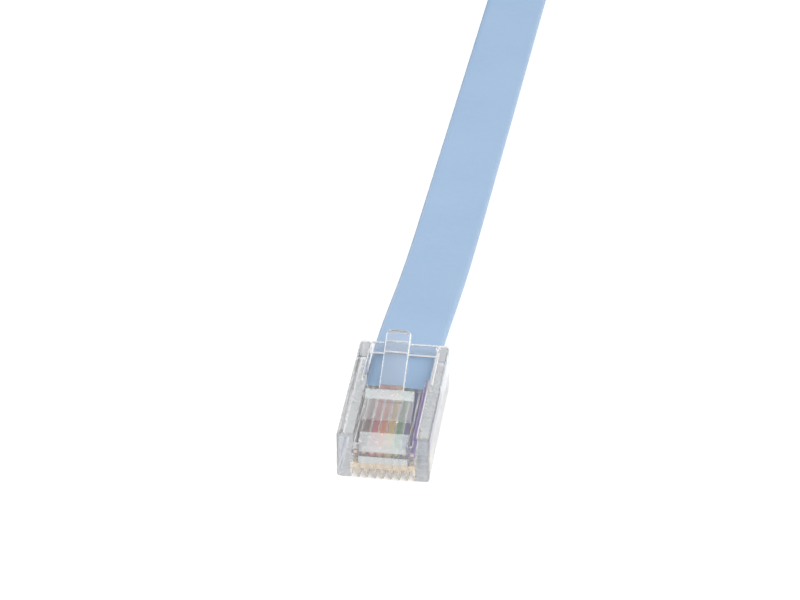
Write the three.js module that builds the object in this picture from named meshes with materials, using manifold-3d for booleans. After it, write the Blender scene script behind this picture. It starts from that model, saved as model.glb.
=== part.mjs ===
// A flat eight-conductor console cable with a clear modular plug moulded at each end.
// Millimetres, +Z up. The origin is at the middle of the near plug's underside.
// The cable leaves the plug along +Y.
import * as THREE from "three";
import { mergeVertices } from "three/addons/utils/BufferGeometryUtils.js";
import Module from "manifold-3d";

const wasm = await Module();
wasm.setup();

// Plug housing
const PLUG_WIDTH = 11.68;
const PLUG_LENGTH = 21.46;
const PLUG_HEIGHT = 6.6;
const PLUG_EDGE = 0.45; // rounding of the four long edges
const FRONT_WALL = 1.2;

// Channel in the top that the latch lies in
const CHANNEL_WIDTH = 7.5;
const CHANNEL_FLOOR = 5.2;
const REAR_RIM = 0.65; // full-height rim left behind the channel
const WINDOW_START = 13.0; // nose to the opening over the jacket, where the channel widens
const WINDOW_WIDTH = 8.6;

// Latch, moulded in one piece with the housing
const LATCH_WIDTH = 6.2;
const LATCH_ROOT_Z = 4.1; // lower edge of its sloping nose
const LATCH_NOSE_RUN = 2.0;
const LATCH_NOSE_TOP = 5.75;
const LATCH_SLOPE = 0.28; // rise for each millimetre to the rear
const LATCH_SLIT_START = 4.8; // where the latch comes free of the housing, behind the nose
const LATCH_WEB = 1.0; // thickness of the wide part
const STOP_BACK = 8.5; // nose to the stop face that catches in a socket
const STOP_LENGTH = 1.0;
const STOP_RISE = 0.35;
const STOP_DROP = 0.85; // from the stop's top edge down to the tab
const TAB_WIDTH = 3.2;
const TAB_END = 19.1; // nose to the tab's tip
const TAB_THICKNESS = 0.95;
const TAB_CORNER = 0.7;

// Eight ways, their contacts and conductors
const WAYS = 8;
const PITCH = 1.016;
const SLOT_WIDTH = 0.6;
const SLOT_END_CLEARANCE = 0.35; // left behind the contact
const SLOT_MOUTH = 0.96; // width at the underside, which points the ribs between the slots
const SLOT_MOUTH_HEIGHT = 0.75;
const BLADE_THICKNESS = 0.35;
const BLADE_SETBACK = 0.95; // nose to the contact's front edge
const BLADE_LENGTH = 5.1;
const BLADE_BOTTOM = 0.6;
const BLADE_CORNER = 0.5;
const CONDUCTOR_DIAMETER = 1.0;
const CONDUCTOR_SIDES = 12;
const CONDUCTOR_SETBACK = 1.4; // nose to the cut ends
const CHAMBER_CLEARANCE = 0.1;
const SEAT_GAP = 0.3; // left between pieces that touch

// Flat jacket and the cavity that holds its end
const CABLE_WIDTH = 8.8;
const CABLE_THICKNESS = 2.4;
const CABLE_ROUND_SIDES = 3; // facets in each quarter of the jacket's rounded edges
const CABLE_AXIS_Z = 3.45; // centre of jacket and conductors above the plug's underside
const JACKET_END = 13.5; // nose to the end of the jacket
const ENTRY_CLEARANCE = 0.27;

// Hank of the length that is put away, with the cable standing on its edge
const HANK_TURNS = 5;
const HANK_PITCH = 3.15;
const HANK_RADIUS = 31.75; // of the outermost turn
const HANK_STRAIGHT = 82;
const HANK_ARC_SEGMENTS = 14;
const HANK_START = [5.8, 150]; // where the lead's centre line becomes the outermost turn
const TIE_THICKNESS = 0.6;
const TIE_WIDTH = 14;
const TIE_CLEARANCE = 0.3;
const LAP_THICKNESS = 0.55; // of the strap's end, which lies over the strap
const LAP_INSET = [3.2, 0.4]; // from the strap's sides and edges

// Far plug, on its side in the opening of the hank
const FAR_ENTRY = [-23.45, 215];

// Centre line of the visible lead: x, y, z and the roll of the jacket in degrees
const LEAD_POINTS = [
  [0.0, JACKET_END - PLUG_LENGTH / 2, CABLE_AXIS_Z, 0],
  [0.0, 6.5, CABLE_AXIS_Z, 0],
  [0.0, 11.0, CABLE_AXIS_Z, 0],
  [0.1, 15.0, 3.4, 0],
  [0.28, 20.0, 3.12, 0],
  [0.5, 26.0, 2.45, 0],
  [0.76, 33.0, 1.7, 0],
  [1.06, 41.0, 1.26, 0],
  [1.39, 50.0, 1.2, 0],
  [1.74, 60.0, 1.2, 0],
  [2.09, 70.0, 1.2, 0],
  [2.45, 80.0, 1.2, 0],
  [2.8, 90.0, 1.2, 0],
  [3.15, 100.0, 1.2, 0],
  [3.5, 110.0, 1.2, 0],
  [3.86, 120.0, 1.2, 0],
  [4.15, 126.0, 1.79, 7.4],
  [4.5, 131.1, 3.09, 25.7],
  [4.85, 135.4, 4.21, 45],
  [5.2, 139.7, 4.94, 64.3],
  [5.6, 144.8, 5.27, 82.6],
  [5.8, 149.7, 5.3, 90],
];

// Centre line of the inner end, from the last turn to the far plug
const TAIL_POINTS = [
  [-9.95, 150.3, 5.3, 90],
  [-10.0, 155.0, 5.3, 90],
  [-10.4, 161.0, 5.32, 90],
  [-11.3, 167.0, 5.37, 90],
  [-12.7, 173.0, 5.44, 90],
  [-14.6, 179.0, 5.52, 90],
  [-16.8, 185.0, 5.61, 90],
  [-19.0, 191.0, 5.7, 90],
  [-21.0, 197.0, 5.78, 90],
  [-22.5, 203.0, 5.83, 90],
  [-23.25, 209.0, 5.84, 90],
  [...FAR_ENTRY, PLUG_WIDTH / 2, 90],
  [FAR_ENTRY[0], 219.0, PLUG_WIDTH / 2, 90],
  [FAR_ENTRY[0], FAR_ENTRY[1] + PLUG_LENGTH - JACKET_END, PLUG_WIDTH / 2, 90],
];
const LEAD_STEPS = 34;
const TAIL_STEPS = 16;

const CONDUCTOR_COLOURS = {
  black: 0x26242b,
  brown: 0x7a5546,
  red: 0xcf4f5c,
  orange: 0xe5813f,
  yellow: 0xe0bf52,
  green: 0x4f9a5e,
  blue: 0x2f3f94,
  violet: 0x6b4a9e,
};

const material = (color, roughness, metalness = 0, opacity = 1) =>
  new THREE.MeshStandardMaterial({ color, roughness, metalness, opacity, transparent: opacity < 1 });
const clearPlastic = () => material(0xdfe3e6, 0.08, 0, 0.35);
const gold = () => material(0xd9b77c, 0.25, 1);
const jacketPlastic = () => material(0x93b9dc, 0.6);
const tieFabric = () => material(0x2c2e31, 0.9);

// A closed geometry as a solid that can be joined and cut.
function toSolid(geometry) {
  const bare = geometry.index ? geometry.toNonIndexed() : geometry.clone();
  for (const name of Object.keys(bare.attributes)) {
    if (name !== "position") bare.deleteAttribute(name);
  }
  const merged = mergeVertices(bare, 1e-4);
  return new wasm.Manifold(
    new wasm.Mesh({
      numProp: 3,
      vertProperties: merged.attributes.position.array,
      triVerts: new Uint32Array(merged.index.array),
    }),
  );
}

function toGeometry(solid) {
  const mesh = solid.getMesh();
  const geometry = new THREE.BufferGeometry();
  geometry.setAttribute("position", new THREE.BufferAttribute(new Float32Array(mesh.vertProperties), 3));
  geometry.setIndex(new THREE.BufferAttribute(new Uint32Array(mesh.triVerts), 1));
  geometry.computeVertexNormals();
  return geometry;
}

function named(name, geometry, look) {
  const mesh = new THREE.Mesh(geometry, look);
  mesh.name = name;
  return mesh;
}

function outline(points) {
  return new THREE.Shape(points.map(([a, b]) => new THREE.Vector2(a, b)));
}

function roundedRectangle(width, height, radius) {
  const [x, y] = [width / 2, height / 2];
  const shape = new THREE.Shape();
  shape.moveTo(-x + radius, -y);
  shape.lineTo(x - radius, -y);
  shape.absarc(x - radius, -y + radius, radius, -Math.PI / 2, 0);
  shape.lineTo(x, y - radius);
  shape.absarc(x - radius, y - radius, radius, 0, Math.PI / 2);
  shape.lineTo(-x + radius, y);
  shape.absarc(-x + radius, y - radius, radius, Math.PI / 2, Math.PI);
  shape.lineTo(-x, -y + radius);
  shape.absarc(-x + radius, -y + radius, radius, Math.PI, Math.PI * 1.5);
  return shape;
}

// A box from its lowest to its highest corner. y is counted from the plug's nose.
function block([x0, y0, z0], [x1, y1, z1]) {
  const geometry = new THREE.BoxGeometry(x1 - x0, y1 - y0, z1 - z0);
  return geometry.translate((x0 + x1) / 2, (y0 + y1) / 2 - PLUG_LENGTH / 2, (z0 + z1) / 2);
}

// A section in x and z, drawn along y between two distances behind the nose.
function alongPlug(shape, from, to, curveSegments = 3) {
  const options = { depth: to - from, bevelEnabled: false, curveSegments };
  const geometry = new THREE.ExtrudeGeometry(shape, options);
  return geometry.rotateX(Math.PI / 2).translate(0, to - PLUG_LENGTH / 2, 0);
}

// A side view in y (behind the nose) and z, as wide as width about the plug's middle.
function acrossPlug(points, width, middle = 0) {
  const geometry = new THREE.ExtrudeGeometry(outline(points), { depth: width, bevelEnabled: false });
  const turn = new THREE.Matrix4().makeBasis(
    new THREE.Vector3(0, 1, 0),
    new THREE.Vector3(0, 0, 1),
    new THREE.Vector3(1, 0, 0),
  );
  return geometry.applyMatrix4(turn).translate(middle - width / 2, -PLUG_LENGTH / 2, 0);
}

const latchTop = (y) => LATCH_NOSE_TOP + LATCH_SLOPE * (y - LATCH_NOSE_RUN);
const wayX = (way) => (way - (WAYS - 1) / 2) * PITCH;

function latchWeb() {
  const slitEnd = STOP_BACK;
  return acrossPlug(
    [
      [0, LATCH_ROOT_Z],
      [LATCH_SLIT_START, LATCH_ROOT_Z],
      [LATCH_SLIT_START, latchTop(LATCH_SLIT_START) - LATCH_WEB],
      [slitEnd, latchTop(slitEnd) - LATCH_WEB],
      [STOP_BACK, latchTop(STOP_BACK) + STOP_RISE],
      [STOP_BACK - STOP_LENGTH, latchTop(STOP_BACK - STOP_LENGTH)],
      [LATCH_NOSE_RUN, LATCH_NOSE_TOP],
      [LATCH_NOSE_RUN / 3, (2 * LATCH_NOSE_TOP + LATCH_ROOT_Z) / 3],
    ],
    LATCH_WIDTH,
  );
}

// The tab is a flat strip with rounded corners at its tip, drawn lying and then tilted to the latch's slope.
function latchTab() {
  const overlap = STOP_LENGTH;
  const tilt = Math.atan(LATCH_SLOPE);
  const length = (TAB_END - STOP_BACK + overlap) / Math.cos(tilt);
  const half = TAB_WIDTH / 2;
  const strip = new THREE.Shape();
  strip.moveTo(-half, 0);
  strip.lineTo(half, 0);
  strip.lineTo(half, length - TAB_CORNER);
  strip.absarc(half - TAB_CORNER, length - TAB_CORNER, TAB_CORNER, 0, Math.PI / 2);
  strip.lineTo(-half + TAB_CORNER, length);
  strip.absarc(-half + TAB_CORNER, length - TAB_CORNER, TAB_CORNER, Math.PI / 2, Math.PI);
  const top = latchTop(STOP_BACK) + STOP_RISE - STOP_DROP - LATCH_SLOPE * overlap;
  return new THREE.ExtrudeGeometry(strip, { depth: TAB_THICKNESS, bevelEnabled: false, curveSegments: 4 })
    .translate(0, 0, -TAB_THICKNESS)
    .rotateX(tilt)
    .translate(0, STOP_BACK - overlap - PLUG_LENGTH / 2, top);
}

// The slot of one contact: parallel walls, flared at the underside.
function contactSlot(way) {
  const [half, mouth] = [SLOT_WIDTH / 2, SLOT_MOUTH / 2];
  const floor = -1;
  const flare = (mouth - half) / SLOT_MOUTH_HEIGHT;
  const chamberFloor = CABLE_AXIS_Z - CONDUCTOR_DIAMETER / 2;
  const shape = outline([
    [-mouth + flare * floor, floor],
    [mouth - flare * floor, floor],
    [half, SLOT_MOUTH_HEIGHT],
    [half, chamberFloor],
    [-half, chamberFloor],
    [-half, SLOT_MOUTH_HEIGHT],
  ]);
  const slotEnd = BLADE_SETBACK + BLADE_LENGTH + SLOT_END_CLEARANCE;
  return alongPlug(shape, -1, slotEnd).translate(wayX(way), 0, 0);
}

function housingGeometry() {
  const section = roundedRectangle(PLUG_WIDTH, PLUG_HEIGHT, PLUG_EDGE);
  const body = alongPlug(section, 0, PLUG_LENGTH).translate(0, 0, PLUG_HEIGHT / 2);
  const channelHalf = CHANNEL_WIDTH / 2;
  const channelEnd = PLUG_LENGTH - REAR_RIM;
  const channel = block([-channelHalf, -1, CHANNEL_FLOOR], [channelHalf, channelEnd, PLUG_HEIGHT + 1]);
  const chamberHalf = (WAYS * PITCH) / 2 + CHAMBER_CLEARANCE;
  const chamberHeight = CONDUCTOR_DIAMETER / 2 + CHAMBER_CLEARANCE;
  const chamber = block(
    [-chamberHalf, FRONT_WALL, CABLE_AXIS_Z - chamberHeight],
    [chamberHalf, JACKET_END, CABLE_AXIS_Z + chamberHeight],
  );
  const entryHalf = CABLE_WIDTH / 2 + ENTRY_CLEARANCE;
  const entryHeight = CABLE_THICKNESS / 2 + ENTRY_CLEARANCE;
  const entry = block(
    [-entryHalf, JACKET_END - SEAT_GAP, CABLE_AXIS_Z - entryHeight],
    [entryHalf, PLUG_LENGTH + 1, CABLE_AXIS_Z + entryHeight],
  );
  const windowHalf = WINDOW_WIDTH / 2;
  const window = block([-windowHalf, WINDOW_START, CABLE_AXIS_Z], [windowHalf, channelEnd, PLUG_HEIGHT + 1]);
  let solid = toSolid(body).subtract(toSolid(channel)).subtract(toSolid(window));
  solid = solid.add(toSolid(latchWeb())).add(toSolid(latchTab()));
  solid = solid.subtract(toSolid(chamber)).subtract(toSolid(entry));
  for (let way = 0; way < WAYS; way += 1) {
    solid = solid.subtract(toSolid(contactSlot(way)));
  }
  return toGeometry(solid);
}

// One contact: a thin blade that stands in its slot, its lower front corner cut off.
function contactGeometry(way) {
  const top = CABLE_AXIS_Z - CONDUCTOR_DIAMETER / 2 - SEAT_GAP;
  const back = BLADE_SETBACK + BLADE_LENGTH;
  return acrossPlug(
    [
      [BLADE_SETBACK, BLADE_BOTTOM + BLADE_CORNER],
      [BLADE_SETBACK + BLADE_CORNER, BLADE_BOTTOM],
      [back, BLADE_BOTTOM],
      [back, top],
      [BLADE_SETBACK, top],
    ],
    BLADE_THICKNESS,
    wayX(way),
  );
}

function conductorGeometry(way) {
  const length = JACKET_END - SEAT_GAP - CONDUCTOR_SETBACK;
  const radius = CONDUCTOR_DIAMETER / 2;
  return new THREE.CylinderGeometry(radius, radius, length, CONDUCTOR_SIDES)
    .translate(wayX(way), CONDUCTOR_SETBACK + length / 2 - PLUG_LENGTH / 2, CABLE_AXIS_Z);
}

// A whole plug. Across the far plug the conductors come in the opposite order.
function plug(prefix, reversed) {
  const group = new THREE.Group();
  group.add(named(`${prefix}_housing`, housingGeometry(), clearPlastic()));
  const colours = Object.entries(CONDUCTOR_COLOURS);
  colours.forEach(([colour, shade], index) => {
    const way = reversed ? WAYS - 1 - index : index;
    group.add(named(`${prefix}_conductor_${colour}`, conductorGeometry(way), material(shade, 0.45)));
  });
  for (let way = 0; way < WAYS; way += 1) {
    group.add(named(`${prefix}_contact_${way + 1}`, contactGeometry(way), gold()));
  }
  return group;
}

// A smooth line whose section is rolled about it, so that a flat cable lies flat or stands on its edge.
class RibbonPath extends THREE.CatmullRomCurve3 {
  constructor(points) {
    super(points.map(([x, y, z]) => new THREE.Vector3(x, y, z)), false, "centripetal");
    this.rolls = points.map((point) => THREE.MathUtils.degToRad(point[3]));
  }

  rollAt(share) {
    const place = this.getUtoTmapping(share) * (this.rolls.length - 1);
    const before = Math.min(Math.floor(place), this.rolls.length - 2);
    return THREE.MathUtils.lerp(this.rolls[before], this.rolls[before + 1], place - before);
  }

  computeFrenetFrames(segments) {
    const frames = { tangents: [], normals: [], binormals: [] };
    for (let step = 0; step <= segments; step += 1) {
      const share = step / segments;
      const tangent = this.getTangentAt(share);
      const level = new THREE.Vector3(tangent.y, -tangent.x, 0).normalize();
      const upright = new THREE.Vector3().crossVectors(level, tangent);
      const roll = this.rollAt(share);
      const normal = level.multiplyScalar(Math.cos(roll)).addScaledVector(upright, Math.sin(roll));
      frames.tangents.push(tangent);
      frames.normals.push(normal);
      frames.binormals.push(new THREE.Vector3().crossVectors(tangent, normal));
    }
    return frames;
  }
}

// The flat jacket along a route: a section with rounded edges, without its conductors.
function ribbonGeometry(points, steps) {
  const section = roundedRectangle(CABLE_WIDTH, CABLE_THICKNESS, CABLE_THICKNESS / 2 - 0.05);
  return new THREE.ExtrudeGeometry(section, {
    steps,
    extrudePath: new RibbonPath(points),
    curveSegments: CABLE_ROUND_SIDES,
  });
}

const hankMiddle = HANK_START[0] - HANK_RADIUS;
const hankRightX = (turn) => hankMiddle + HANK_RADIUS - turn * HANK_PITCH;
const hankLeftX = (turn) => hankMiddle - HANK_RADIUS + HANK_PITCH / 2 + turn * HANK_PITCH;
const hankFarY = HANK_START[1] + HANK_STRAIGHT;
const hankBottom = TIE_THICKNESS + TIE_CLEARANCE;

// One end loop of the hank, from side x0 to side x1 at height y, bulging forwards or backwards.
function endLoop(path, x0, x1, y, startAngle, clockwise) {
  const endAngle = startAngle + (clockwise ? -Math.PI : Math.PI);
  path.absarc((x0 + x1) / 2, y, Math.abs(x1 - x0) / 2, startAngle, endAngle, clockwise);
}

// The outer form of the wound turns: a ring with long straight sides. The lead meets the step in its outer
// side, and the tail leaves the step in its inner side.
function hankGeometry() {
  const half = CABLE_THICKNESS / 2;
  const nearY = HANK_START[1];
  const last = HANK_TURNS - 1;
  const ring = new THREE.Shape();
  ring.moveTo(hankRightX(0) + half, nearY);
  ring.lineTo(hankRightX(0) + half, hankFarY);
  endLoop(ring, hankRightX(0) + half, hankLeftX(0) - half, hankFarY, 0, false);
  ring.lineTo(hankLeftX(0) - half, nearY);
  endLoop(ring, hankLeftX(0) - half, hankRightX(1) + half, nearY, Math.PI, false);
  const opening = new THREE.Path();
  opening.moveTo(hankRightX(last) - half, nearY);
  opening.lineTo(hankRightX(last) - half, hankFarY);
  endLoop(opening, hankRightX(last) - half, hankLeftX(last) + half, hankFarY, 0, false);
  opening.lineTo(hankLeftX(last) + half, nearY);
  endLoop(opening, hankLeftX(last) + half, hankRightX(HANK_TURNS) - half, nearY, Math.PI, false);
  ring.holes.push(opening);
  return new THREE.ExtrudeGeometry(ring, {
    depth: CABLE_WIDTH,
    bevelEnabled: false,
    curveSegments: HANK_ARC_SEGMENTS,
  }).translate(0, 0, hankBottom);
}

// A strap round one side of the hank, from x0 to x1 across its turns.
function tieGeometry(x0, x1) {
  const inWidth = x1 - x0 + 2 * TIE_CLEARANCE;
  const inHeight = CABLE_WIDTH + 2 * TIE_CLEARANCE;
  const [outWidth, outHeight] = [inWidth + 2 * TIE_THICKNESS, inHeight + 2 * TIE_THICKNESS];
  const band = new THREE.ExtrudeGeometry(roundedRectangle(outWidth, outHeight, TIE_THICKNESS), {
    depth: TIE_WIDTH,
    bevelEnabled: false,
    curveSegments: 2,
  }).rotateX(Math.PI / 2).translate(0, TIE_WIDTH / 2, 0);
  const inside = new THREE.BoxGeometry(inWidth, 2 * TIE_WIDTH, inHeight);
  const lap = new THREE.BoxGeometry(
    outWidth - 2 * LAP_INSET[0],
    TIE_WIDTH - 2 * LAP_INSET[1],
    LAP_THICKNESS + TIE_THICKNESS,
  ).translate(0, 0, (outHeight + LAP_THICKNESS - TIE_THICKNESS) / 2);
  const middleY = (HANK_START[1] + hankFarY) / 2;
  return toGeometry(toSolid(band).add(toSolid(lap)).subtract(toSolid(inside)))
    .translate((x0 + x1) / 2, middleY, outHeight / 2);
}

function placeFarPlug(group) {
  const turn = new THREE.Matrix4().makeBasis(
    new THREE.Vector3(0, 0, -1),
    new THREE.Vector3(0, -1, 0),
    new THREE.Vector3(-1, 0, 0),
  );
  group.quaternion.setFromRotationMatrix(turn);
  group.position.set(FAR_ENTRY[0] + CABLE_AXIS_Z, FAR_ENTRY[1] + PLUG_LENGTH / 2, PLUG_WIDTH / 2);
  return group;
}

function consoleCable() {
  const cable = new THREE.Group();
  const half = CABLE_THICKNESS / 2;
  const last = HANK_TURNS - 1;
  cable.add(plug("plug_a", false));
  cable.add(named("cable_lead", ribbonGeometry(LEAD_POINTS, LEAD_STEPS), jacketPlastic()));
  cable.add(named("cable_hank", hankGeometry(), jacketPlastic()));
  cable.add(named("cable_tail", ribbonGeometry(TAIL_POINTS, TAIL_STEPS), jacketPlastic()));
  cable.add(named("tie_right", tieGeometry(hankRightX(last) - half, hankRightX(0) + half), tieFabric()));
  cable.add(named("tie_left", tieGeometry(hankLeftX(0) - half, hankLeftX(last) + half), tieFabric()));
  cable.add(placeFarPlug(plug("plug_b", true)));
  return cable;
}

export default consoleCable();
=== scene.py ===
"""Dresses a flat console cable: clear plugs, gold contacts, coloured conductors, jacket and straps."""

import logging
import math
from dataclasses import dataclass, field
from enum import Enum
from typing import Iterable, Sequence

import bmesh
import bpy
from mathutils import Matrix, Vector


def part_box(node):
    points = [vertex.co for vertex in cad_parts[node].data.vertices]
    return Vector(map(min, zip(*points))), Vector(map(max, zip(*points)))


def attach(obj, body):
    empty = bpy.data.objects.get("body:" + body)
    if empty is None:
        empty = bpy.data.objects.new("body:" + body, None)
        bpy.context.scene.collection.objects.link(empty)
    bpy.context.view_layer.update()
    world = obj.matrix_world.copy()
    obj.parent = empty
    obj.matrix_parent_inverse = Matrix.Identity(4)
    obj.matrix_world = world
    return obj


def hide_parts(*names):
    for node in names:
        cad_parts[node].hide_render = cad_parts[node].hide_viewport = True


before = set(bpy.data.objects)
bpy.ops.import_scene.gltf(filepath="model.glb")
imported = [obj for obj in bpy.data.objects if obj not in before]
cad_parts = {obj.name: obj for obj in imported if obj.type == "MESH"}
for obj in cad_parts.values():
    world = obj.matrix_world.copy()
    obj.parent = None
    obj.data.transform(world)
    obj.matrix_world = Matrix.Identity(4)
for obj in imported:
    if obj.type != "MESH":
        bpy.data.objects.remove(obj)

LOG = logging.getLogger("console_cable")
MM = 0.001
ROOT = "root"
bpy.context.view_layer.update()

Bmesh = bmesh.types.BMesh
Colour = tuple[float, float, float]
Triple = tuple[float, float, float]
Knot = tuple[float, float, float, float]


class Cut(Enum):
    """How one solid is combined with another."""

    JOIN = "UNION"
    REMOVE = "DIFFERENCE"


class Surface(Enum):
    """How clear a face of the moulded housing is, as its material number."""

    CLEAR = 0
    HAZY = 1
    SATIN = 2
    RIB = 3
    BAND = 4
    # EDGE: a pale, half-clear finish that paints a highlight along the tab's sides and the rear rim's
    # top.
    EDGE = 5
    TAB = 6


class Wire(Enum):
    """The insulation colours, in order across the near plug from its left side."""

    BLACK = "black"
    BROWN = "brown"
    RED = "red"
    ORANGE = "orange"
    YELLOW = "yellow"
    GREEN = "green"
    BLUE = "blue"
    VIOLET = "violet"


WIRE_COLOURS: dict[Wire, Colour] = {
    Wire.BLACK: (0.022, 0.020, 0.026),
    Wire.BROWN: (0.150, 0.062, 0.042),
    Wire.RED: (0.560, 0.052, 0.075),
    Wire.ORANGE: (0.800, 0.180, 0.040),
    Wire.YELLOW: (0.760, 0.480, 0.070),
    Wire.GREEN: (0.060, 0.270, 0.090),
    Wire.BLUE: (0.020, 0.045, 0.250),
    Wire.VIOLET: (0.120, 0.050, 0.330),
}


class Shading:
    """A new material's node tree, with short calls for the nodes that the finishes use."""

    def __init__(self, name: str) -> None:
        """Starts a material with one Principled shader.

        Args:
            name: The material's name.
        """
        self.material = bpy.data.materials.new(name)
        self.material.use_nodes = True
        self.tree = self.material.node_tree
        self.shader = self.tree.nodes["Principled BSDF"]
        self.place = self.tree.nodes.new("ShaderNodeTexCoord").outputs["Object"]

    def set(self, **values: float | tuple[float, ...]) -> None:
        """Sets the shader's own sockets.

        Args:
            **values: Socket names, with underscores for spaces, and their values.
        """
        for name, value in values.items():
            self.shader.inputs[name.replace("_", " ")].default_value = value

    def noise(self, scale: float, detail: float = 3.0, where: bpy.types.NodeSocket | None = None
              ) -> bpy.types.NodeSocket:
        """A noise value.

        Args:
            scale: The noise's scale, in features a metre.
            detail: Its octaves.
            where: The vector that it reads, or None for Object coordinates.

        Returns:
            The noise's Fac socket.
        """
        node = self.tree.nodes.new("ShaderNodeTexNoise")
        node.inputs["Scale"].default_value = scale
        node.inputs["Detail"].default_value = detail
        self.tree.links.new(where or self.place, node.inputs["Vector"])
        return node.outputs["Fac"]

    def between(self, factor: bpy.types.NodeSocket, low: float, high: float,
                start: float = 0.35, end: float = 0.65) -> bpy.types.NodeSocket:
        """A factor spread over a range of values.

        Args:
            factor: The factor.
            low: The value at the factor's start.
            high: The value at the factor's end.
            start: The factor that gives low.
            end: The factor that gives high.

        Returns:
            The spread value.
        """
        node = self.tree.nodes.new("ShaderNodeMapRange")
        limits = {"From Min": start, "From Max": end, "To Min": low, "To Max": high}
        for name, value in limits.items():
            node.inputs[name].default_value = value
        self.tree.links.new(factor, node.inputs["Value"])
        return node.outputs["Result"]

    def tint(self, factor: bpy.types.NodeSocket, dark: Colour, light: Colour) -> None:
        """Lets the colour wander between two shades.

        Args:
            factor: What chooses the shade.
            dark: The first shade.
            light: The second shade.
        """
        ramp = self.tree.nodes.new("ShaderNodeValToRGB")
        ramp.color_ramp.elements[0].position = 0.3
        ramp.color_ramp.elements[0].color = (*dark, 1.0)
        ramp.color_ramp.elements[1].position = 0.7
        ramp.color_ramp.elements[1].color = (*light, 1.0)
        self.tree.links.new(factor, ramp.inputs["Fac"])
        self.tree.links.new(ramp.outputs["Color"], self.shader.inputs["Base Color"])

    def overlay(self, mask: bpy.types.NodeSocket, colour: Colour) -> None:
        """Lays a colour over the one that the shader has.

        Args:
            mask: Where it lies, from 0 to 1.
            colour: The colour.
        """
        mix = self.tree.nodes.new("ShaderNodeMix")
        mix.data_type = "RGBA"
        first, second = [socket for socket in mix.inputs if socket.type == "RGBA"]
        mixed = next(socket for socket in mix.outputs if socket.type == "RGBA")
        base = self.shader.inputs["Base Color"]
        self.tree.links.new(base.links[0].from_socket, first)
        second.default_value = (*colour, 1.0)
        self.tree.links.new(mask, mix.inputs[0])
        self.tree.links.new(mixed, base)

    def drive(self, socket: str, value: bpy.types.NodeSocket) -> None:
        """Links a value to one of the shader's sockets.

        Args:
            socket: The socket's name.
            value: The value.
        """
        self.tree.links.new(value, self.shader.inputs[socket])

    def bump(self, height: bpy.types.NodeSocket, strength: float, distance: float) -> None:
        """Adds relief.

        Args:
            height: The height, from 0 to 1.
            strength: How strongly it shows.
            distance: The relief's depth in metres.
        """
        node = self.tree.nodes.new("ShaderNodeBump")
        node.inputs["Strength"].default_value = strength
        node.inputs["Distance"].default_value = distance
        self.tree.links.new(height, node.inputs["Height"])
        self.tree.links.new(node.outputs["Normal"], self.shader.inputs["Normal"])


@dataclass(frozen=True)
class ClearPlastic:
    """Polished clear polycarbonate with a soft unevenness from the mould."""

    name: str = "clear_plastic"
    tint: Colour = (0.95, 0.95, 0.965)
    index: float = 1.49
    clear: float = 0.89
    smooth: float = 0.03
    dull: float = 0.09

    def material(self) -> bpy.types.Material:
        """Makes the finish.

        Returns:
            The material.
        """
        look = Shading(self.name)
        look.set(Base_Color=(*self.tint, 1.0), IOR=self.index, Transmission_Weight=self.clear)
        look.drive("Roughness", look.between(look.noise(420.0), self.smooth, self.dull))
        look.bump(look.noise(260.0, 1.0), 0.06, 0.00012)
        return look.material


@dataclass(frozen=True)
class SatinPlastic:
    """The same plastic where the mould was left matt, so that it looks milky."""

    name: str = "satin_plastic"
    tint: Colour = (0.82, 0.865, 0.88)
    index: float = 1.49
    clear: float = 0.55
    smooth: float = 0.18
    dull: float = 0.32

    def material(self) -> bpy.types.Material:
        """Makes the finish.

        Returns:
            The material.
        """
        look = Shading(self.name)
        look.set(Base_Color=(*self.tint, 1.0), IOR=self.index, Transmission_Weight=self.clear)
        look.drive("Roughness", look.between(look.noise(900.0), self.smooth, self.dull))
        look.bump(look.noise(1800.0), 0.04, 0.00008)
        return look.material


@dataclass(frozen=True)
class GoldPlate:
    """Thin gold over nickel on stamped blades."""

    light: Colour = (0.74, 0.63, 0.48)
    dark: Colour = (0.66, 0.54, 0.39)

    def material(self) -> bpy.types.Material:
        """Makes the finish.

        Returns:
            The material.
        """
        look = Shading("gold_plate")
        look.set(Metallic=1.0)
        look.tint(look.noise(1500.0), self.dark, self.light)
        look.drive("Roughness", look.between(look.noise(3800.0), 0.18, 0.34))
        return look.material


@dataclass(frozen=True)
class BareCopper:
    """The strands at a conductor's cut end."""

    colour: Colour = (0.90, 0.55, 0.38)
    shade: float = 0.7

    def material(self) -> bpy.types.Material:
        """Makes the finish.

        Returns:
            The material.
        """
        look = Shading("bare_copper")
        look.set(Metallic=1.0)
        dark = tuple(self.shade * part for part in self.colour)
        look.tint(look.noise(9000.0), dark, self.colour)
        look.drive("Roughness", look.between(look.noise(6000.0), 0.25, 0.45))
        return look.material


@dataclass(frozen=True)
class Insulation:
    """Glossy thin-wall insulation of one conductor."""

    wire: Wire
    shade: float = 0.86

    def material(self) -> bpy.types.Material:
        """Makes the finish.

        Returns:
            The material.
        """
        look = Shading(f"insulation_{self.wire.value}")
        colour = WIRE_COLOURS[self.wire]
        dark = tuple(self.shade * part for part in colour)
        look.tint(look.noise(700.0), dark, colour)
        look.set(Coat_Weight=0.15, Coat_Roughness=0.2)
        look.drive("Roughness", look.between(look.noise(1200.0), 0.34, 0.5))
        return look.material


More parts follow.
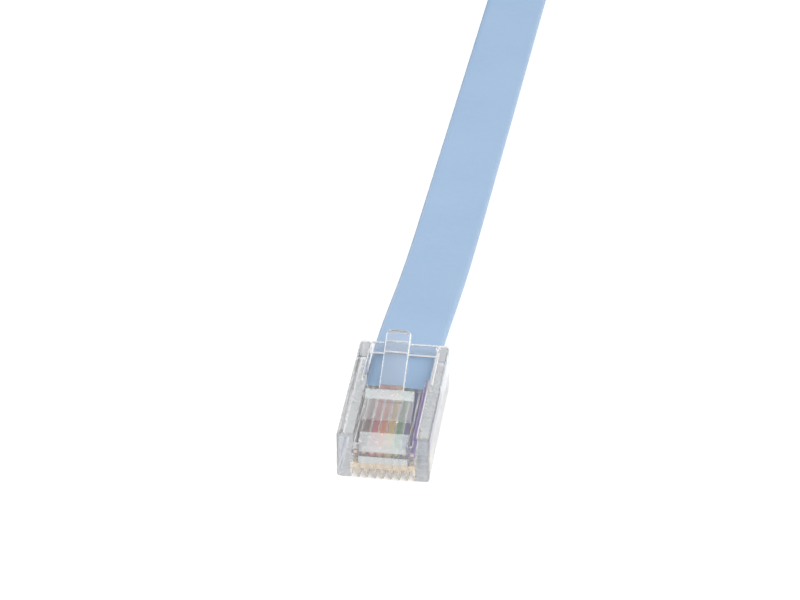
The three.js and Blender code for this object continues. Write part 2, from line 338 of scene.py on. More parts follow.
@dataclass(frozen=True)
class Jacket:
    """Satin light-blue flexible PVC with faint drawing lines, and a painted shade along one rounded edge.
    """

    light: Colour = (0.300, 0.430, 0.605)
    dark: Colour = (0.280, 0.408, 0.582)
    # seam: the colour of a painted shade along the jacket's one rounded edge, not a seam in the PVC.
    seam: Colour = (0.170, 0.250, 0.350)
    painted_shade_place: tuple[float, float] = (-0.0030, -0.0036)  # where the painted shade along one edge starts and is full
    line_spacing: float = 0.0011
    line_run: float = 8.0  # how often a line changes in a metre

    def material(self) -> bpy.types.Material:
        """Makes the finish. The lines and the painted edge shade follow the sweep's own UV map.

        Returns:
            The material.
        """
        look = Shading("jacket_pvc")
        skin = look.tree.nodes.new("ShaderNodeUVMap")
        skin.uv_map = FlatCable.UV_NAME
        lengthwise = look.tree.nodes.new("ShaderNodeMapping")
        lengthwise.inputs["Scale"].default_value = (1.0 / self.line_spacing, self.line_run, 1.0)
        look.tree.links.new(skin.outputs["UV"], lengthwise.inputs["Vector"])
        look.tint(look.noise(90.0, 4.0), self.dark, self.light)
        round_it = look.tree.nodes.new("ShaderNodeSeparateXYZ")
        look.tree.links.new(skin.outputs["UV"], round_it.inputs["Vector"])
        # Painted shade: the band of the section nearest one rounded edge is darkened to the seam colour.
        look.overlay(look.between(round_it.outputs["X"], 0.0, 1.0, *self.painted_shade_place), self.seam)
        look.drive("Roughness", look.between(look.noise(900.0, 4.0), 0.42, 0.56))
        look.bump(look.noise(1.0, 4.0, lengthwise.outputs["Vector"]), 0.22, 0.00006)
        return look.material


@dataclass(frozen=True)
class StrapFabric:
    """Black hook-and-loop strap: a fine loop pile over a ribbed backing."""

    light: Colour = (0.030, 0.031, 0.034)
    dark: Colour = (0.012, 0.012, 0.014)

    def material(self) -> bpy.types.Material:
        """Makes the finish.

        Returns:
            The material.
        """
        look = Shading("strap_fabric")
        look.tint(look.noise(2600.0, 5.0), self.dark, self.light)
        look.set(Roughness=0.92, Sheen_Weight=0.35, Sheen_Roughness=0.5)
        look.bump(look.noise(3200.0, 4.0), 0.7, 0.0002)
        return look.material


@dataclass(frozen=True)
class PaleFloor:
    """A plain matt white table that is lit from below."""

    colour: Colour = (0.80, 0.80, 0.80)
    glow: float = 0.38

    def material(self) -> bpy.types.Material:
        """Makes the finish.

        Returns:
            The material.
        """
        look = Shading("pale_floor")
        look.set(Base_Color=(*self.colour, 1.0), Specular_IOR_Level=0.1, Emission_Strength=self.glow,
                 Emission_Color=(1.0, 1.0, 1.0, 1.0))
        look.drive("Roughness", look.between(look.noise(30.0), 0.82, 0.95))
        return look.material


def prism(corners: Sequence[Triple], along: Triple) -> Bmesh:
    """A closed prism.

    Args:
        corners: The corners of one end, in order.
        along: From that end to the other.

    Returns:
        The prism, its faces pointing out.
    """
    shape = bmesh.new()
    end = shape.faces.new([shape.verts.new(corner) for corner in corners])
    made = bmesh.ops.extrude_face_region(shape, geom=[end])["geom"]
    moved = [item for item in made if isinstance(item, bmesh.types.BMVert)]
    bmesh.ops.translate(shape, verts=moved, vec=along)
    rims = [edge for edge in shape.edges if edge.is_boundary]
    if rims:
        bmesh.ops.holes_fill(shape, edges=rims, sides=0)
    bmesh.ops.recalc_face_normals(shape, faces=shape.faces)
    return shape


def cuboid(low: Triple, high: Triple) -> Bmesh:
    """A box between two corners.

    Args:
        low: Its lowest corner.
        high: Its highest corner.

    Returns:
        The box.
    """
    shape = bmesh.new()
    bmesh.ops.create_cube(shape, size=1.0)
    bmesh.ops.scale(shape, vec=[b - a for a, b in zip(low, high)], verts=shape.verts)
    bmesh.ops.translate(shape, vec=[(a + b) / 2 for a, b in zip(low, high)], verts=shape.verts)
    return shape


def rod(radius: float, start: Triple, length: float, sides: int = 32) -> Bmesh:
    """A closed cylinder along +Y.

    Args:
        radius: Its radius.
        start: The middle of its first end.
        length: Its length.
        sides: Its sides.

    Returns:
        The cylinder.
    """
    shape = bmesh.new()
    middle = Vector(start) + Vector((0.0, length / 2, 0.0))
    stand = Matrix.Translation(middle) @ Matrix.Rotation(-math.pi / 2, 4, "X")
    bmesh.ops.create_cone(shape, cap_ends=True, segments=sides, radius1=radius, radius2=radius,
                          depth=length, matrix=stand)
    return shape


def rounded(shape: Bmesh, offset: float, segments: int = 3, least: float = 20.0) -> Bmesh:
    """Bevels a solid's sharp edges.

    Args:
        shape: The solid.
        offset: The bevel's width.
        segments: Its segments.
        least: The smallest angle between two faces that is bevelled, in degrees.

    Returns:
        The same solid.
    """
    sharp = [edge for edge in shape.edges if edge.calc_face_angle(0.0) > math.radians(least)]
    bmesh.ops.bevel(shape, geom=sharp, offset=offset, offset_type="OFFSET", segments=segments,
                    profile=0.5, affect="EDGES", clamp_overlap=True, material=-1)
    return shape


def gathered(shapes: Iterable[Bmesh]) -> Bmesh:
    """Puts several solids into one bmesh.

    Args:
        shapes: The solids, which are used up.

    Returns:
        The one bmesh.
    """
    whole = bmesh.new()
    for shape in shapes:
        part = bpy.data.meshes.new("part")
        shape.to_mesh(part)
        shape.free()
        whole.from_mesh(part)
        bpy.data.meshes.remove(part)
    return whole


def temporary(shape: Bmesh, name: str) -> bpy.types.Object:
    """An object of a bmesh that is only worked with.

    Args:
        shape: The bmesh, which is used up.
        name: The object's name.

    Returns:
        The object.
    """
    mesh = bpy.data.meshes.new(name)
    shape.to_mesh(mesh)
    shape.free()
    made = bpy.data.objects.new(name, mesh)
    bpy.context.scene.collection.objects.link(made)
    return made


def combined(body: Bmesh, steps: Sequence[tuple[Cut, Bmesh]]) -> Bmesh:
    """Joins and cuts a body.

    Args:
        body: The body, which is used up.
        steps: What is joined or removed, in order.

    Returns:
        The result.
    """
    work = temporary(body, "work")
    tools: list[bpy.types.Object] = []
    for cut, tool in steps:
        operand = temporary(tool, "tool")
        tools.append(operand)
        modifier = work.modifiers.new("combine", "BOOLEAN")
        modifier.operation = cut.value
        modifier.solver = "EXACT"
        modifier.object = operand
    seen = work.evaluated_get(bpy.context.evaluated_depsgraph_get())
    mesh = bpy.data.meshes.new_from_object(seen)
    result = bmesh.new()
    result.from_mesh(mesh)
    bmesh.ops.remove_doubles(result, verts=result.verts, dist=1e-4)
    for spare in (work, *tools):
        data = spare.data
        bpy.data.objects.remove(spare)
        bpy.data.meshes.remove(data)
    bpy.data.meshes.remove(mesh)
    return result


def piece(name: str, shape: Bmesh, finishes: Sequence[bpy.types.Material],
          placement: Matrix | None = None, sharp: float = 32.0) -> bpy.types.Object:
    """Makes a finished piece of the object.

    Args:
        name: The piece's name.
        shape: Its bmesh, which is used up.
        finishes: Its materials, in the order of the faces' material numbers.
        placement: From the bmesh's frame to the object's, or None.
        sharp: The angle in degrees past which an edge stays sharp.

    Returns:
        The piece, riding on the root.
    """
    if placement is not None:
        bmesh.ops.transform(shape, matrix=placement, verts=shape.verts)
        if placement.determinant() < 0:
            bmesh.ops.recalc_face_normals(shape, faces=shape.faces)
    for face in shape.faces:
        face.smooth = True
    for edge in shape.edges:
        edge.smooth = edge.calc_face_angle(0.0) < math.radians(sharp)
    made = temporary(shape, name)
    for finish in finishes:
        made.data.materials.append(finish)
    even = made.modifiers.new("even_normals", "WEIGHTED_NORMAL")
    even.keep_sharp = True
    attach(made, ROOT)
    LOG.info("%s: %d faces", name, len(made.data.polygons))
    return made


@dataclass
class PlugSizes:
    """The plug's sizes in millimetres. y runs from the nose to the cable, z up from the underside."""

    width: float = 11.68
    length: float = 21.46
    height: float = 6.6
    edge: float = 0.4
    front_wall: float = 1.2
    channel: Triple = (7.5, 20.81, 5.2)  # width, length and floor
    window_start: float = 13.0
    window_width: float = 8.6
    latch_width: float = 6.2
    root_z: float = 4.1
    nose_run: float = 2.0
    nose_top: float = 5.75
    slope: float = 0.28
    slit_start: float = 4.8
    web: float = 1.0
    web_round: float = 0.14
    nose_bend: Triple = (0.55, 0.42, 0.05)  # share of its run, drop from its top, and room behind it
    stop_back: float = 8.5
    stop_length: float = 1.0
    stop_ramp: float = 0.25
    stop_rise: float = 0.35
    stop_front: float = 0.6  # share of the rise that the stop has at its front
    stop_drop: float = 0.85
    tab_width: float = 3.2
    tab_end: float = 19.1
    tab_thickness: float = 0.95
    tab_corner: float = 0.7
    tab_round: float = 0.26
    ways: int = 8
    pitch: float = 1.016
    slot_width: float = 0.6
    slot_length: float = 6.4
    slot_front: float = 1.6  # height of the slots in the front wall
    band_bottom: float = 1.1
    band_top: float = 2.4
    cell_top: float = 3.4
    slot_mouth: float = 0.96
    mouth_height: float = 0.75
    front_pinch: tuple[float, float] = (0.06, 0.04)  # beside the blade, and off the mouth
    front_step: float = 0.1  # how far before the blades the slots grow high
    blade: float = 0.35
    blade_setback: float = 0.95
    blade_length: float = 5.1
    blade_bottom: float = 0.6
    blade_turn: float = 0.55
    tooth: Triple = (0.45, 0.08, 0.85)  # half its base, half its tip, and its height
    tooth_inset: tuple[float, float] = (1.2, 1.0)  # from the blade's front and back
    wire: float = 1.0
    wire_setback: float = 1.4
    wire_wall: float = 0.26
    core_proud: float = 0.06
    axis_z: float = 3.45
    jacket_end: float = 13.5
    seat_gap: float = 0.3
    seat: tuple[float, float] = (4.67, 1.47)  # half the width and height of the jacket's seat
    wire_gap: tuple[float, float] = (4.1, 0.22)  # half the size of the slit between the grooves
    overlap: float = 0.02  # how far a cut stays inside what is joined to it
    past: float = 1.0  # how far a cutting solid reaches past the face that it opens
    groove_ease: float = 0.065
    groove_drop: float = 0.085  # the groove sits lower, so that its roof touches the wire
    lean: float = 0.0  # how far the latch leans sideways for each millimetre to the rear

    def way_x(self, way: int) -> float:
        """Where a way lies across the plug."""
        return (way - (self.ways - 1) / 2) * self.pitch

    def latch_top(self, y: float) -> float:
        """The height of the latch's upper side at a distance behind the nose."""
        return self.nose_top + self.slope * (y - self.nose_run)


@dataclass
class ModularPlug:
    """One clear plug with its contacts and the ends of its conductors."""

    prefix: str
    placement: Matrix
    reversed_order: bool
    finishes: dict[str, bpy.types.Material]
    sizes: PlugSizes = field(default_factory=PlugSizes)

    def latch(self) -> Bmesh:
        """The latch's wide web, from its root at the nose to the raised stop.

        Returns:
            The web, its edges rounded.
        """
        s = self.sizes
        half = s.latch_width / 2
        share, under, _ = s.nose_bend
        stop = s.stop_back - s.stop_length
        side = [
            (0.0, s.root_z),
            (s.slit_start, s.root_z),
            (s.slit_start, s.latch_top(s.slit_start) - s.web),
            (s.stop_back, s.latch_top(s.stop_back) - s.web),
            (s.stop_back, s.latch_top(s.stop_back) + s.stop_rise),
            (stop, s.latch_top(stop) + s.stop_rise * s.stop_front),
            (stop - s.stop_ramp, s.latch_top(stop - s.stop_ramp)),
            (s.nose_run, s.nose_top),
            (s.nose_run * share, s.nose_top - under),
        ]
        web = prism([(-half, y, z) for y, z in side], (2 * half, 0.0, 0.0))
        return self.leaned(rounded(web, s.web_round, 2, 28.0))

    def tab(self) -> Bmesh:
        """The tab: a flat strip with a rounded tip, tilted to the latch's slope.

        Returns:
            The tab.
        """
        s = self.sizes
        tilt = math.atan(s.slope)
        reach = (s.tab_end - s.stop_back + s.stop_length) / math.cos(tilt)
        half, corner = s.tab_width / 2, s.tab_corner
        arc = [math.radians(angle) for angle in range(0, 91, 18)]
        right = [(half - corner * (1 - math.cos(a)), reach - corner * (1 - math.sin(a))) for a in arc]
        left = [(-x, y) for x, y in reversed(right)]
        outline = [(-half, 0.0), (half, 0.0), *right, *left]
        strip = prism([(x, y, -s.tab_thickness) for x, y in outline], (0.0, 0.0, s.tab_thickness))
        rounded(strip, s.tab_round, 3, 50.0)
        top = s.latch_top(s.stop_back) + s.stop_rise - s.stop_drop - s.slope * s.stop_length
        start = Matrix.Translation((0.0, s.stop_back - s.stop_length, top))
        place = start @ Matrix.Rotation(tilt, 4, "X")
        bmesh.ops.transform(strip, matrix=place, verts=strip.verts)
        return self.leaned(strip)

    def leaned(self, shape: Bmesh) -> Bmesh:
        """Leans a piece of the latch sideways, as a handled latch does.

        Args:
            shape: The piece.

        Returns:
            The same piece.
        """
        shear = Matrix.Identity(4)
        shear[0][1] = self.sizes.lean
        bmesh.ops.transform(shape, matrix=shear, verts=shape.verts)
        return shape

    def slots(self, front: bool) -> Bmesh:
        """The eight contact slots, flared at the underside so that the ribs between them are pointed.

        Args:
            front: Whether to give the low part in the front wall, or the part behind it.

        Returns:
            The solids that are cut away.
        """
        s = self.sizes
        inside = s.blade_setback - s.front_step
        if front:
            beside, off_mouth = s.front_pinch
            half, mouth = s.blade / 2 + beside, s.slot_mouth / 2 - off_mouth
            start, end, roof = -s.past, inside + s.front_step / 2, s.slot_front
        else:
            half, mouth = s.slot_width / 2, s.slot_mouth / 2
            start, end, roof = inside, s.slot_length, s.axis_z - s.wire / 2
        low = mouth + (mouth - half) / s.mouth_height * s.past
        outline = [(-low, -s.past), (low, -s.past), (half, s.mouth_height), (half, roof),
                   (-half, roof), (-half, s.mouth_height)]
        run = (0.0, end - start, 0.0)
        return gathered(prism([(s.way_x(way) + dx, start, z) for dx, z in outline], run)
                        for way in range(s.ways))

    def grooves(self, first: int) -> Bmesh:
        """Every other conductor's round groove.

        Args:
            first: The first way.

        Returns:
            The solids that are cut away.
        """
        s = self.sizes
        radius = s.wire / 2 + s.groove_ease
        length = s.jacket_end - s.front_wall
        heights = [s.axis_z - (s.groove_drop if way > 0 else 0.0) for way in range(s.ways)]
        return gathered(rod(radius, (s.way_x(way), s.front_wall, heights[way]), length, 24)
                        for way in range(first, s.ways, 2))

    def notch(self) -> Bmesh:
        """The opening in the body's front that leaves the slope of the latch's nose bare.

        Returns:
            The solid that is cut away.
        """
        s = self.sizes
        half = s.latch_width / 2 - s.web_round - s.overlap
        share, under, room = s.nose_bend
        foot, back = s.root_z + s.overlap, s.nose_run * share + room
        side = [(-s.past, foot), (s.overlap, foot), (back, s.nose_top - under + s.overlap),
                (back, s.height + s.past), (-s.past, s.height + s.past)]
        return prism([(-half, y, z) for y, z in side], (2 * half, 0.0, 0.0))

    def housing(self) -> bpy.types.Object:
        """The clear housing with its latch, as one moulding.

        Returns:
            The housing.
        """
        s = self.sizes
        half, opening = s.width / 2, s.window_width / 2
        width, length, floor = s.channel
        above, behind = s.height + 2 * s.past, s.length + 2 * s.past
        across, upright = s.seat
        gap_x, gap_z = s.wire_gap
        body = rounded(cuboid((-half, 0.0, 0.0), (half, s.length, s.height)), s.edge, 4)
        channel = rounded(cuboid((-width / 2, -2 * s.past, floor), (width / 2, length, above)), 0.25, 3)
        window = rounded(cuboid((-opening, s.window_start, s.axis_z), (opening, length, above)), 0.2, 3)
        low = (-across, s.jacket_end - s.seat_gap, s.axis_z - upright)
        entry = rounded(cuboid(low, (across, behind, s.axis_z + upright)), 0.5, 4)
        seam = cuboid((-gap_x, s.front_wall, s.axis_z - gap_z), (gap_x, s.jacket_end, s.axis_z + gap_z))
        steps = [
            (Cut.REMOVE, channel),
            (Cut.REMOVE, self.notch()),
            (Cut.REMOVE, window),
            (Cut.JOIN, self.latch()),
            (Cut.JOIN, self.tab()),
            (Cut.REMOVE, entry),
            (Cut.REMOVE, self.grooves(0)),
            (Cut.REMOVE, self.grooves(1)),
            (Cut.REMOVE, seam),
            (Cut.REMOVE, self.slots(front=False)),
            (Cut.REMOVE, self.slots(front=True)),
        ]
        whole = combined(body, steps)
        self.frost(whole)
        looks = [self.finishes[surface.name.lower()] for surface in Surface]
        made = piece(f"{self.prefix}_clear_housing", whole, looks, self.placement)
        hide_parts(f"{self.prefix}_housing")
        return made

    def frost(self, whole: Bmesh) -> None:
        """Gives each face of the housing its finish.

        The underside, the front over the ribs, and the latch's nose and stop are satin. The ribs and the
        band over them take the tone of the gold behind them. The edges of the tab and of the rear rim get
        a pale, half-clear finish that paints a white highlight along them, the tab has a finish of its
        own, the latch's wide part is hazy, and the rest is clear.

        Args:
            whole: The housing, in the plug's own frame.
        """
        s = self.sizes
        ribs = s.ways / 2 * s.pitch
        rib_top = s.axis_z - s.wire / 2
        latch = s.latch_width / 2
        cuts = [("X", ribs), ("X", -ribs), ("X", latch), ("X", -latch), ("Z", rib_top), ("Z", s.root_z),
                ("Z", s.band_bottom), ("Z", s.band_top), ("Z", s.cell_top), ("Y", s.slot_length),
                ("Y", s.channel[1])]
        for axis, place in cuts:
            normal = Vector((float(axis == "X"), float(axis == "Y"), float(axis == "Z")))
            bmesh.ops.bisect_plane(whole, geom=[*whole.verts, *whole.edges, *whole.faces],
                                   plane_co=normal * place, plane_no=normal, dist=1e-5)
        for face in whole.faces:
            x, y, z = face.calc_center_median()
            on_latch = abs(x - s.lean * y) < latch + 0.01
            on_stop = on_latch and s.stop_back - s.stop_length - 0.3 < y < s.stop_back + 0.05
            in_ribs = abs(x) < ribs and y < s.slot_length and z < s.band_top
            on_rim = y > s.channel[1] and z > s.height - s.edge
            on_front = y < 0.01 and s.band_top < z < s.cell_top
            on_tab = on_latch and y > s.stop_back + 0.1 and z > s.height - 0.4
            tab_edge = on_tab and abs(face.normal.z) < 0.9
            on_nose = y < s.nose_run + 0.02 and z > s.root_z and face.normal.z > 0.1
            milky = z < 0.01 or (on_latch and (on_front or on_nose))
            surface = Surface.CLEAR
            if in_ribs:
                surface = Surface.RIB if z < s.band_bottom else Surface.BAND
            # Painted highlight: the tab's sides and the rear rim's top take the pale edge finish.
            elif on_rim or tab_edge:
                surface = Surface.EDGE
            elif on_tab:
                surface = Surface.TAB
            elif milky or (on_stop and z > s.latch_top(y) - s.web + 0.02):
                surface = Surface.SATIN
            elif on_latch and y < s.stop_back and z > s.root_z + 0.02 and face.normal.z > 0.2:
                surface = Surface.HAZY
            face.material_index = surface.value

    def contact(self, way: int) -> bpy.types.Object:
        """One stamped contact with a rounded front corner and two teeth in its conductor.

        Args:
            way: The way, from 0.

        Returns:
            The contact.
        """
        s = self.sizes
        front, back = s.blade_setback, s.blade_setback + s.blade_length
        bottom = s.blade_bottom
        top = s.axis_z - s.wire / 2 - s.seat_gap
        turn = s.blade_turn
        corner = [(front + turn * (1 - math.cos(a)), bottom + turn * (1 - math.sin(a)))
                  for a in (0.0, 0.4, 0.8, 1.2, math.pi / 2)]
        base, tip, rise = s.tooth
        teeth = []
        for middle in (back - s.tooth_inset[1], front + s.tooth_inset[0]):
            teeth += [(middle + base, top), (middle + tip, top + rise), (middle - tip, top + rise),
                      (middle - base, top)]
        side = [*corner, (back, bottom), (back, top), *teeth, (front, top)]
        x = s.way_x(way) - s.blade / 2
        blade = prism([(x, y, z) for y, z in side], (s.blade, 0.0, 0.0))
        made = piece(f"{self.prefix}_gold_contact_{way + 1}", rounded(blade, 0.035, 1, 50.0),
                     [self.finishes["gold"]], self.placement)
        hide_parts(f"{self.prefix}_contact_{way + 1}")
        return made

    def conductor(self, wire: Wire, index: int) -> bpy.types.Object:
        """One conductor's end: insulation round a copper core that shows at the cut.

        Args:
            wire: Its colour.
            index: Its place in the near plug's order.

        Returns:
            The conductor.
        """
        s = self.sizes
        way = s.ways - 1 - index if self.reversed_order else index
        length = s.jacket_end - s.seat_gap - s.wire_setback
        tube = rod(s.wire / 2, (s.way_x(way), s.wire_setback, s.axis_z), length, 28)
        nose = min(tube.faces, key=lambda face: face.calc_center_median().y)
        bmesh.ops.inset_region(tube, faces=[nose], thickness=s.wire_wall, depth=0.0)
        nose.material_index = 1
        bmesh.ops.translate(tube, verts=nose.verts, vec=(0.0, -s.core_proud, 0.0))
        looks = [self.finishes[wire.value], self.finishes["copper"]]
        made = piece(f"{self.prefix}_insulated_{wire.value}", tube, looks,
                     self.placement)
        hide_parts(f"{self.prefix}_conductor_{wire.value}")
        return made

    def build(self) -> list[bpy.types.Object]:
        """Builds the whole plug.

        Returns:
            Its pieces.
        """
        made = [self.housing()]
        made += [self.contact(way) for way in range(self.sizes.ways)]
        made += [self.conductor(wire, index) for index, wire in enumerate(Wire)]
        return made


@dataclass
class FlatCable:
    """The jacket: a flat section swept along the lead, the hank's turns and the tail, in metres."""

    finish: bpy.types.Material
    width: float = 0.0088
    thickness: float = 0.0024
    edge: float = 0.00105
    length: float = 1.8
    exit: Triple = (0.0, 0.01073, 0.00345)
    turns: int = 5
    pitch: float = 0.00315
    radius: float = 0.03175
    straight: float = 0.082
    start: tuple[float, float] = (0.0058, 0.150)
    axis_height: float = 0.0053
    step: float = 0.002

    UV_NAME = "along"

    lead: tuple[Knot, ...] = (  # x, y, z and the roll in degrees
        (0.00000, 0.00277, 0.00345, 0.0),
        (0.00000, 0.00650, 0.00345, 0.0),
        (0.00000, 0.01100, 0.00345, 0.0),
        (0.00010, 0.01500, 0.00340, 0.0),
        (0.00028, 0.02000, 0.00312, 0.0),
        (0.00050, 0.02600, 0.00245, 0.0),
        (0.00076, 0.03300, 0.00170, 0.0),
        (0.00106, 0.04100, 0.00126, 0.0),
        (0.00139, 0.05000, 0.00120, 0.0),
        (0.00174, 0.06000, 0.00120, 0.0),
        (0.00209, 0.07000, 0.00120, 0.0),
        (0.00245, 0.08000, 0.00120, 0.0),
        (0.00280, 0.09000, 0.00120, 0.0),
        (0.00315, 0.10000, 0.00120, 0.0),
        (0.00350, 0.11000, 0.00120, 0.0),
        (0.00386, 0.12000, 0.00120, 0.0),
        (0.00415, 0.12600, 0.00179, 7.4),
        (0.00450, 0.13110, 0.00309, 25.7),
        (0.00485, 0.13540, 0.00421, 45.0),
        (0.00520, 0.13970, 0.00494, 64.3),
        (0.00560, 0.14480, 0.00527, 82.6),
        (0.00580, 0.14970, 0.00530, 90.0),
    )
    tail: tuple[Knot, ...] = (
        (-0.00995, 0.15030, 0.00530, 90.0),
        (-0.01000, 0.15500, 0.00530, 90.0),
        (-0.01040, 0.16100, 0.00532, 90.0),
        (-0.01130, 0.16700, 0.00537, 90.0),
        (-0.01270, 0.17300, 0.00544, 90.0),
        (-0.01460, 0.17900, 0.00552, 90.0),
        (-0.01680, 0.18500, 0.00561, 90.0),
        (-0.01900, 0.19100, 0.00570, 90.0),
        (-0.02100, 0.19700, 0.00578, 90.0),
        (-0.02250, 0.20300, 0.00583, 90.0),
        (-0.02325, 0.20900, 0.00584, 90.0),
        (-0.02345, 0.21500, 0.00584, 90.0),
        (-0.02345, 0.21900, 0.00584, 90.0),
        (-0.02345, 0.22296, 0.00584, 90.0),
    )

    def right_x(self, turn: int) -> float:
        """Where the hank's right side lies in a turn."""
        return self.start[0] - turn * self.pitch

    def left_x(self, turn: int) -> float:
        """Where the hank's left side lies in a turn."""
        return self.start[0] - 2 * self.radius + self.pitch / 2 + turn * self.pitch

    def side(self, x: float, y0: float, y1: float) -> list[Vector]:
        """A straight side of the hank, from one y to another, without its last point."""
        count = max(2, round(abs(y1 - y0) / self.step))
        return [Vector((x, y0 + (y1 - y0) * k / count, self.axis_height, 90.0)) for k in range(count)]

    def fold(self, x0: float, x1: float, y: float) -> list[Vector]:
        """A half-round end of the hank, turning left, without its last point."""
        middle, radius = (x0 + x1) / 2, (x0 - x1) / 2
        count = max(12, round(math.pi * abs(radius) / self.step))
        angles = [math.pi * k / count for k in range(count)]
        return [Vector((middle + radius * math.cos(a), y + radius * math.sin(a), self.axis_height, 90.0))
                for a in angles]

    def hank(self) -> list[Vector]:
        """The wound turns, from the outermost to the innermost."""
        near, far = self.start[1], self.start[1] + self.straight
        points: list[Vector] = []
        for turn in range(self.turns):
            points += self.side(self.right_x(turn), near, far)
            points += self.fold(self.right_x(turn), self.left_x(turn), far)
            points += self.side(self.left_x(turn), far, near)
            points += self.fold(self.left_x(turn), self.right_x(turn + 1), near)
        return points

    def smooth(self, points: Sequence[Sequence[float]]) -> list[Vector]:
        """A smooth line through the chosen points.

        Args:
            points: x, y, z and roll of each point.

        Returns:
            Points about a step apart on a Catmull-Rom line, the last one too.
        """
        knots = [Vector(point) for point in points]
        ends = [2 * knots[0] - knots[1], *knots, 2 * knots[-1] - knots[-2]]
        line: list[Vector] = []
        for a, b, c, d in zip(ends, ends[1:], ends[2:], ends[3:]):
            count = max(2, round((c.xyz - b.xyz).length / self.step))
            for k in range(count):
                t = k / count
                line.append(0.5 * (2 * b + (c - a) * t + (2 * a - 5 * b + 4 * c - d) * t ** 2
                                   + (3 * b - a - 3 * c + d) * t ** 3))
        line.append(knots[-1])
        return line

    def route(self) -> list[Vector]:
        """The whole centre line with its roll, from the near plug to the far one."""
        return [*self.smooth(self.lead), *self.hank(), *self.smooth(self.tail)]

    def section(self) -> list[tuple[float, float]]:
        """The jacket's flat section with rounded edges, as width and thickness offsets."""
        corners = []
        edge = self.edge
        for quarter in range(4):
            sign_x = 1 if quarter in (0, 3) else -1
            sign_y = 1 if quarter in (0, 1) else -1
            x, y = sign_x * (self.width / 2 - edge), sign_y * (self.thickness / 2 - edge)
            for k in range(6):
                angle = math.pi / 2 * (quarter + k / 5)
                corners.append((x + edge * math.cos(angle), y + edge * math.sin(angle)))
        return corners

    @staticmethod
    def standing(place: Vector, ahead: Vector) -> Matrix:
        """The frame of one section.

        Args:
            place: The section's middle and roll.
            ahead: The line's direction there.

        Returns:
            From the section's plane (x across, y through) to the object's frame.
        """
        level = Vector((ahead.y, -ahead.x, 0.0)).normalized()
        upright = level.cross(ahead)
        roll = math.radians(place.w)
        across = level * math.cos(roll) + upright * math.sin(roll)
        through = ahead.cross(across)
        frame_of = Matrix((across, through, ahead)).transposed().to_4x4()
        return Matrix.Translation(place.xyz) @ frame_of

    def sweep(self, line: Sequence[Vector]) -> Bmesh:
        """Sweeps the section along a line.

        Args:
            line: The centre line with its roll.

        Returns:
            A closed tube with a UV map in metres: round the section, and along the line.
        """
        tube = bmesh.new()
        count = len(line)
        frames = []
        for k, place in enumerate(line):
            before, after = line[max(k - 1, 0)], line[min(k + 1, count - 1)]
            frames.append(self.standing(place, (after.xyz - before.xyz).normalized()))
        loop = [tube.verts.new((x, y, 0.0)) for x, y in self.section()]
        ring = [tube.edges.new((a, b)) for a, b in zip(loop, loop[1:] + loop[:1])]
        tube.faces.new(list(reversed(loop)))
        bmesh.ops.transform(tube, matrix=frames[0], verts=loop)
        uv = tube.loops.layers.uv.new(self.UV_NAME)
        travelled = 0.0
        for k in range(1, count):
            made = bmesh.ops.extrude_edge_only(tube, edges=ring)["geom"]
            verts = [item for item in made if isinstance(item, bmesh.types.BMVert)]
            ring = [item for item in made if isinstance(item, bmesh.types.BMEdge)]
            faces = [item for item in made if isinstance(item, bmesh.types.BMFace)]
            bmesh.ops.transform(tube, matrix=frames[k] @ frames[k - 1].inverted(), verts=verts)
            gone = (line[k].xyz - line[k - 1].xyz).length
            fresh = set(verts)
            back = frames[k].inverted()
            for face in faces:
                for corner in face.loops:
                    flat = back @ corner.vert.co
                    reach = travelled + (gone if corner.vert in fresh else 0.0)
                    corner[uv].uv = (flat.x - flat.y, reach)
            travelled += gone
        bmesh.ops.holes_fill(tube, edges=[edge for edge in tube.edges if edge.is_boundary], sides=0)
        bmesh.ops.recalc_face_normals(tube, faces=tube.faces)
        return tube

    def build(self, on_it: Sequence[bpy.types.Object]) -> bpy.types.Object:
        """Args:
            on_it: The straps and the far plug's pieces. Not used.

        Returns:
            The jacket.
        """
        line = self.route()
        jacket = piece("jacket", self.sweep(line), [self.finish], None, 40.0)
        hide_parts("cable_lead", "cable_hank", "cable_tail")
        return jacket


@dataclass
class Strap:
    """A hook-and-loop strap round one side of the hank, its end lapped over itself. Millimetres."""

    node: str
    finish: bpy.types.Material
    thickness: float = 0.6
    lap: float = 0.55
    lap_inset: tuple[float, float] = (3.2, 0.4)

    def build(self) -> bpy.types.Object:
        """Makes the strap where its CAD node lies.

        Returns:
            The strap.
        """
        low, high = (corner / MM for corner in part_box(self.node))
        high.z -= self.lap
        outer = rounded(cuboid(tuple(low), tuple(high)), 0.55, 4)
        wall = self.thickness
        inner_high = (high.x - wall, high.y + 1.0, high.z - wall)
        inner = cuboid((low.x + wall, low.y - 1.0, low.z + wall), inner_high)
        inset_x, inset_y = self.lap_inset
        lap_low = (low.x + inset_x, low.y + inset_y, high.z - wall / 2)
        lap_high = (high.x - inset_x, high.y - inset_y, high.z + self.lap)
        lap = rounded(cuboid(lap_low, lap_high), 0.22, 2)
        shape = combined(outer, [(Cut.REMOVE, inner), (Cut.JOIN, lap)])
        made = piece(f"{self.node}_strap", shape, [self.finish], Matrix.Scale(MM, 4))
        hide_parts(self.node)
        return made


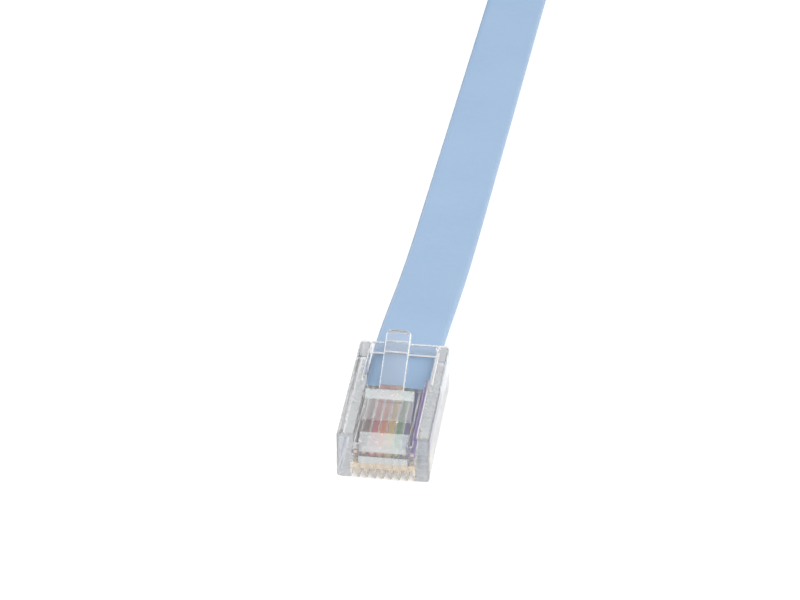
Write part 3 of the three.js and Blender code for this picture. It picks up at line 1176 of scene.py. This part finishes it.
@dataclass
class Studio:
    """The camera, the light and the floor."""

    camera_at: Triple = (0.046847, -0.350139, 0.247247)
    target: Triple = (0.000753, 0.0, 0.019936)
    lens: float = 152.13
    sky: float = 0.85
    key: tuple[Triple, float, float] = ((0.30, -0.55, 0.55), 0.4, 2.9)  # place, side and watts
    fill: tuple[Triple, float, float] = ((-0.45, 0.10, 0.70), 0.6, 1.5)
    floor_gap: float = 0.00006

    def camera(self) -> None:
        """Sets the camera at the photograph's viewing angle."""
        data = bpy.data.cameras.new("camera")
        data.lens = self.lens
        data.sensor_width = 36.0
        data.clip_start = 0.01
        data.clip_end = 20.0
        made = bpy.data.objects.new("camera", data)
        made.location = self.camera_at
        made.rotation_mode = "QUATERNION"
        made.rotation_quaternion = (Vector(self.target) - Vector(self.camera_at)).to_track_quat("-Z", "Y")
        bpy.context.scene.collection.objects.link(made)
        bpy.context.scene.camera = made

    def lamp(self, name: str, place: Triple, size: float, power: float) -> None:
        """Adds a square soft lamp that faces the plug.

        Args:
            name: The lamp's name.
            place: Where it hangs.
            size: Its side.
            power: Its power in watts.
        """
        data = bpy.data.lights.new(name, "AREA")
        data.shape = "SQUARE"
        data.size = size
        data.energy = power
        made = bpy.data.objects.new(name, data)
        made.location = place
        made.rotation_mode = "QUATERNION"
        made.rotation_quaternion = (-Vector(place)).to_track_quat("-Z", "Y")
        bpy.context.scene.collection.objects.link(made)

    def light(self) -> None:
        """Sets a pale even sky and two soft lamps."""
        world = bpy.data.worlds.new("studio")
        world.use_nodes = True
        world.node_tree.nodes["Background"].inputs["Color"].default_value = (1.0, 1.0, 1.0, 1.0)
        world.node_tree.nodes["Background"].inputs["Strength"].default_value = self.sky
        bpy.context.scene.world = world
        bpy.context.scene.view_settings.view_transform = "Standard"
        self.lamp("key", *self.key)
        self.lamp("fill", *self.fill)

    def floor(self) -> None:
        """Lays the floor just under the object."""
        shape = bmesh.new()
        bmesh.ops.create_grid(shape, x_segments=8, y_segments=8, size=3.0)
        bmesh.ops.translate(shape, vec=(0.0, 0.0, -self.floor_gap), verts=shape.verts)
        made = temporary(shape, "floor")
        made.data.materials.append(PaleFloor().material())


def finishes() -> dict[str, bpy.types.Material]:
    """Makes each finish once.

    Returns:
        The materials by name.
    """
    made = {
        "clear": ClearPlastic().material(),
        "tab": ClearPlastic("tab_plastic", (0.96, 0.96, 0.97), clear=0.95).material(),
        "hazy": ClearPlastic("hazy_plastic", clear=0.86).material(),
        "satin": SatinPlastic().material(),
        "rib": SatinPlastic("rib_plastic", (0.72, 0.68, 0.61), clear=0.5).material(),
        "band": SatinPlastic("band_plastic", (0.84, 0.74, 0.61), clear=0.5).material(),
        # The edge finish is pale and half clear, so that it paints a highlight along the tab and the rim.
        "edge": SatinPlastic("painted_highlight_plastic", (0.97, 0.97, 0.97), clear=0.5).material(),
        "gold": GoldPlate().material(),
        "copper": BareCopper().material(),
        "jacket": Jacket().material(),
        "strap": StrapFabric().material(),
    }
    for wire in Wire:
        made[wire.value] = Insulation(wire).material()
    return made


def near_placement(sizes: PlugSizes) -> Matrix:
    """From the plug's own frame in millimetres to the near plug's place."""
    return Matrix.Scale(MM, 4) @ Matrix.Translation((0.0, -sizes.length / 2, 0.0))


def far_placement(sizes: PlugSizes, cable: FlatCable) -> Matrix:
    """From the plug's own frame in millimetres to the far plug, on its side at the tail's end."""
    entry = Vector(cable.tail[-3][:3])
    turn = Matrix(((0, 0, -1), (0, -1, 0), (-1, 0, 0))).to_4x4()
    mouth = Vector((0.0, sizes.length, sizes.axis_z)) * MM
    return Matrix.Translation(entry) @ turn @ Matrix.Translation(-mouth) @ Matrix.Scale(MM, 4)


def main() -> None:
    """Builds the studio, the cable and the plugs in order."""
    logging.basicConfig(level=logging.INFO, format="%(name)s: %(message)s")
    studio = Studio()
    studio.camera()
    looks = finishes()
    sizes = PlugSizes()
    cable = FlatCable(looks["jacket"])
    far = ModularPlug("plug_b", far_placement(sizes, cable), True, looks, sizes)
    straps = [Strap(node, looks["strap"]).build() for node in ("tie_right", "tie_left")]
    far_pieces = far.build()
    cable.build([*straps, *far_pieces])
    ModularPlug("plug_a", near_placement(sizes), False, looks, PlugSizes(lean=-0.022)).build()
    studio.light()
    studio.floor()


if __name__ == "__main__":
    main()
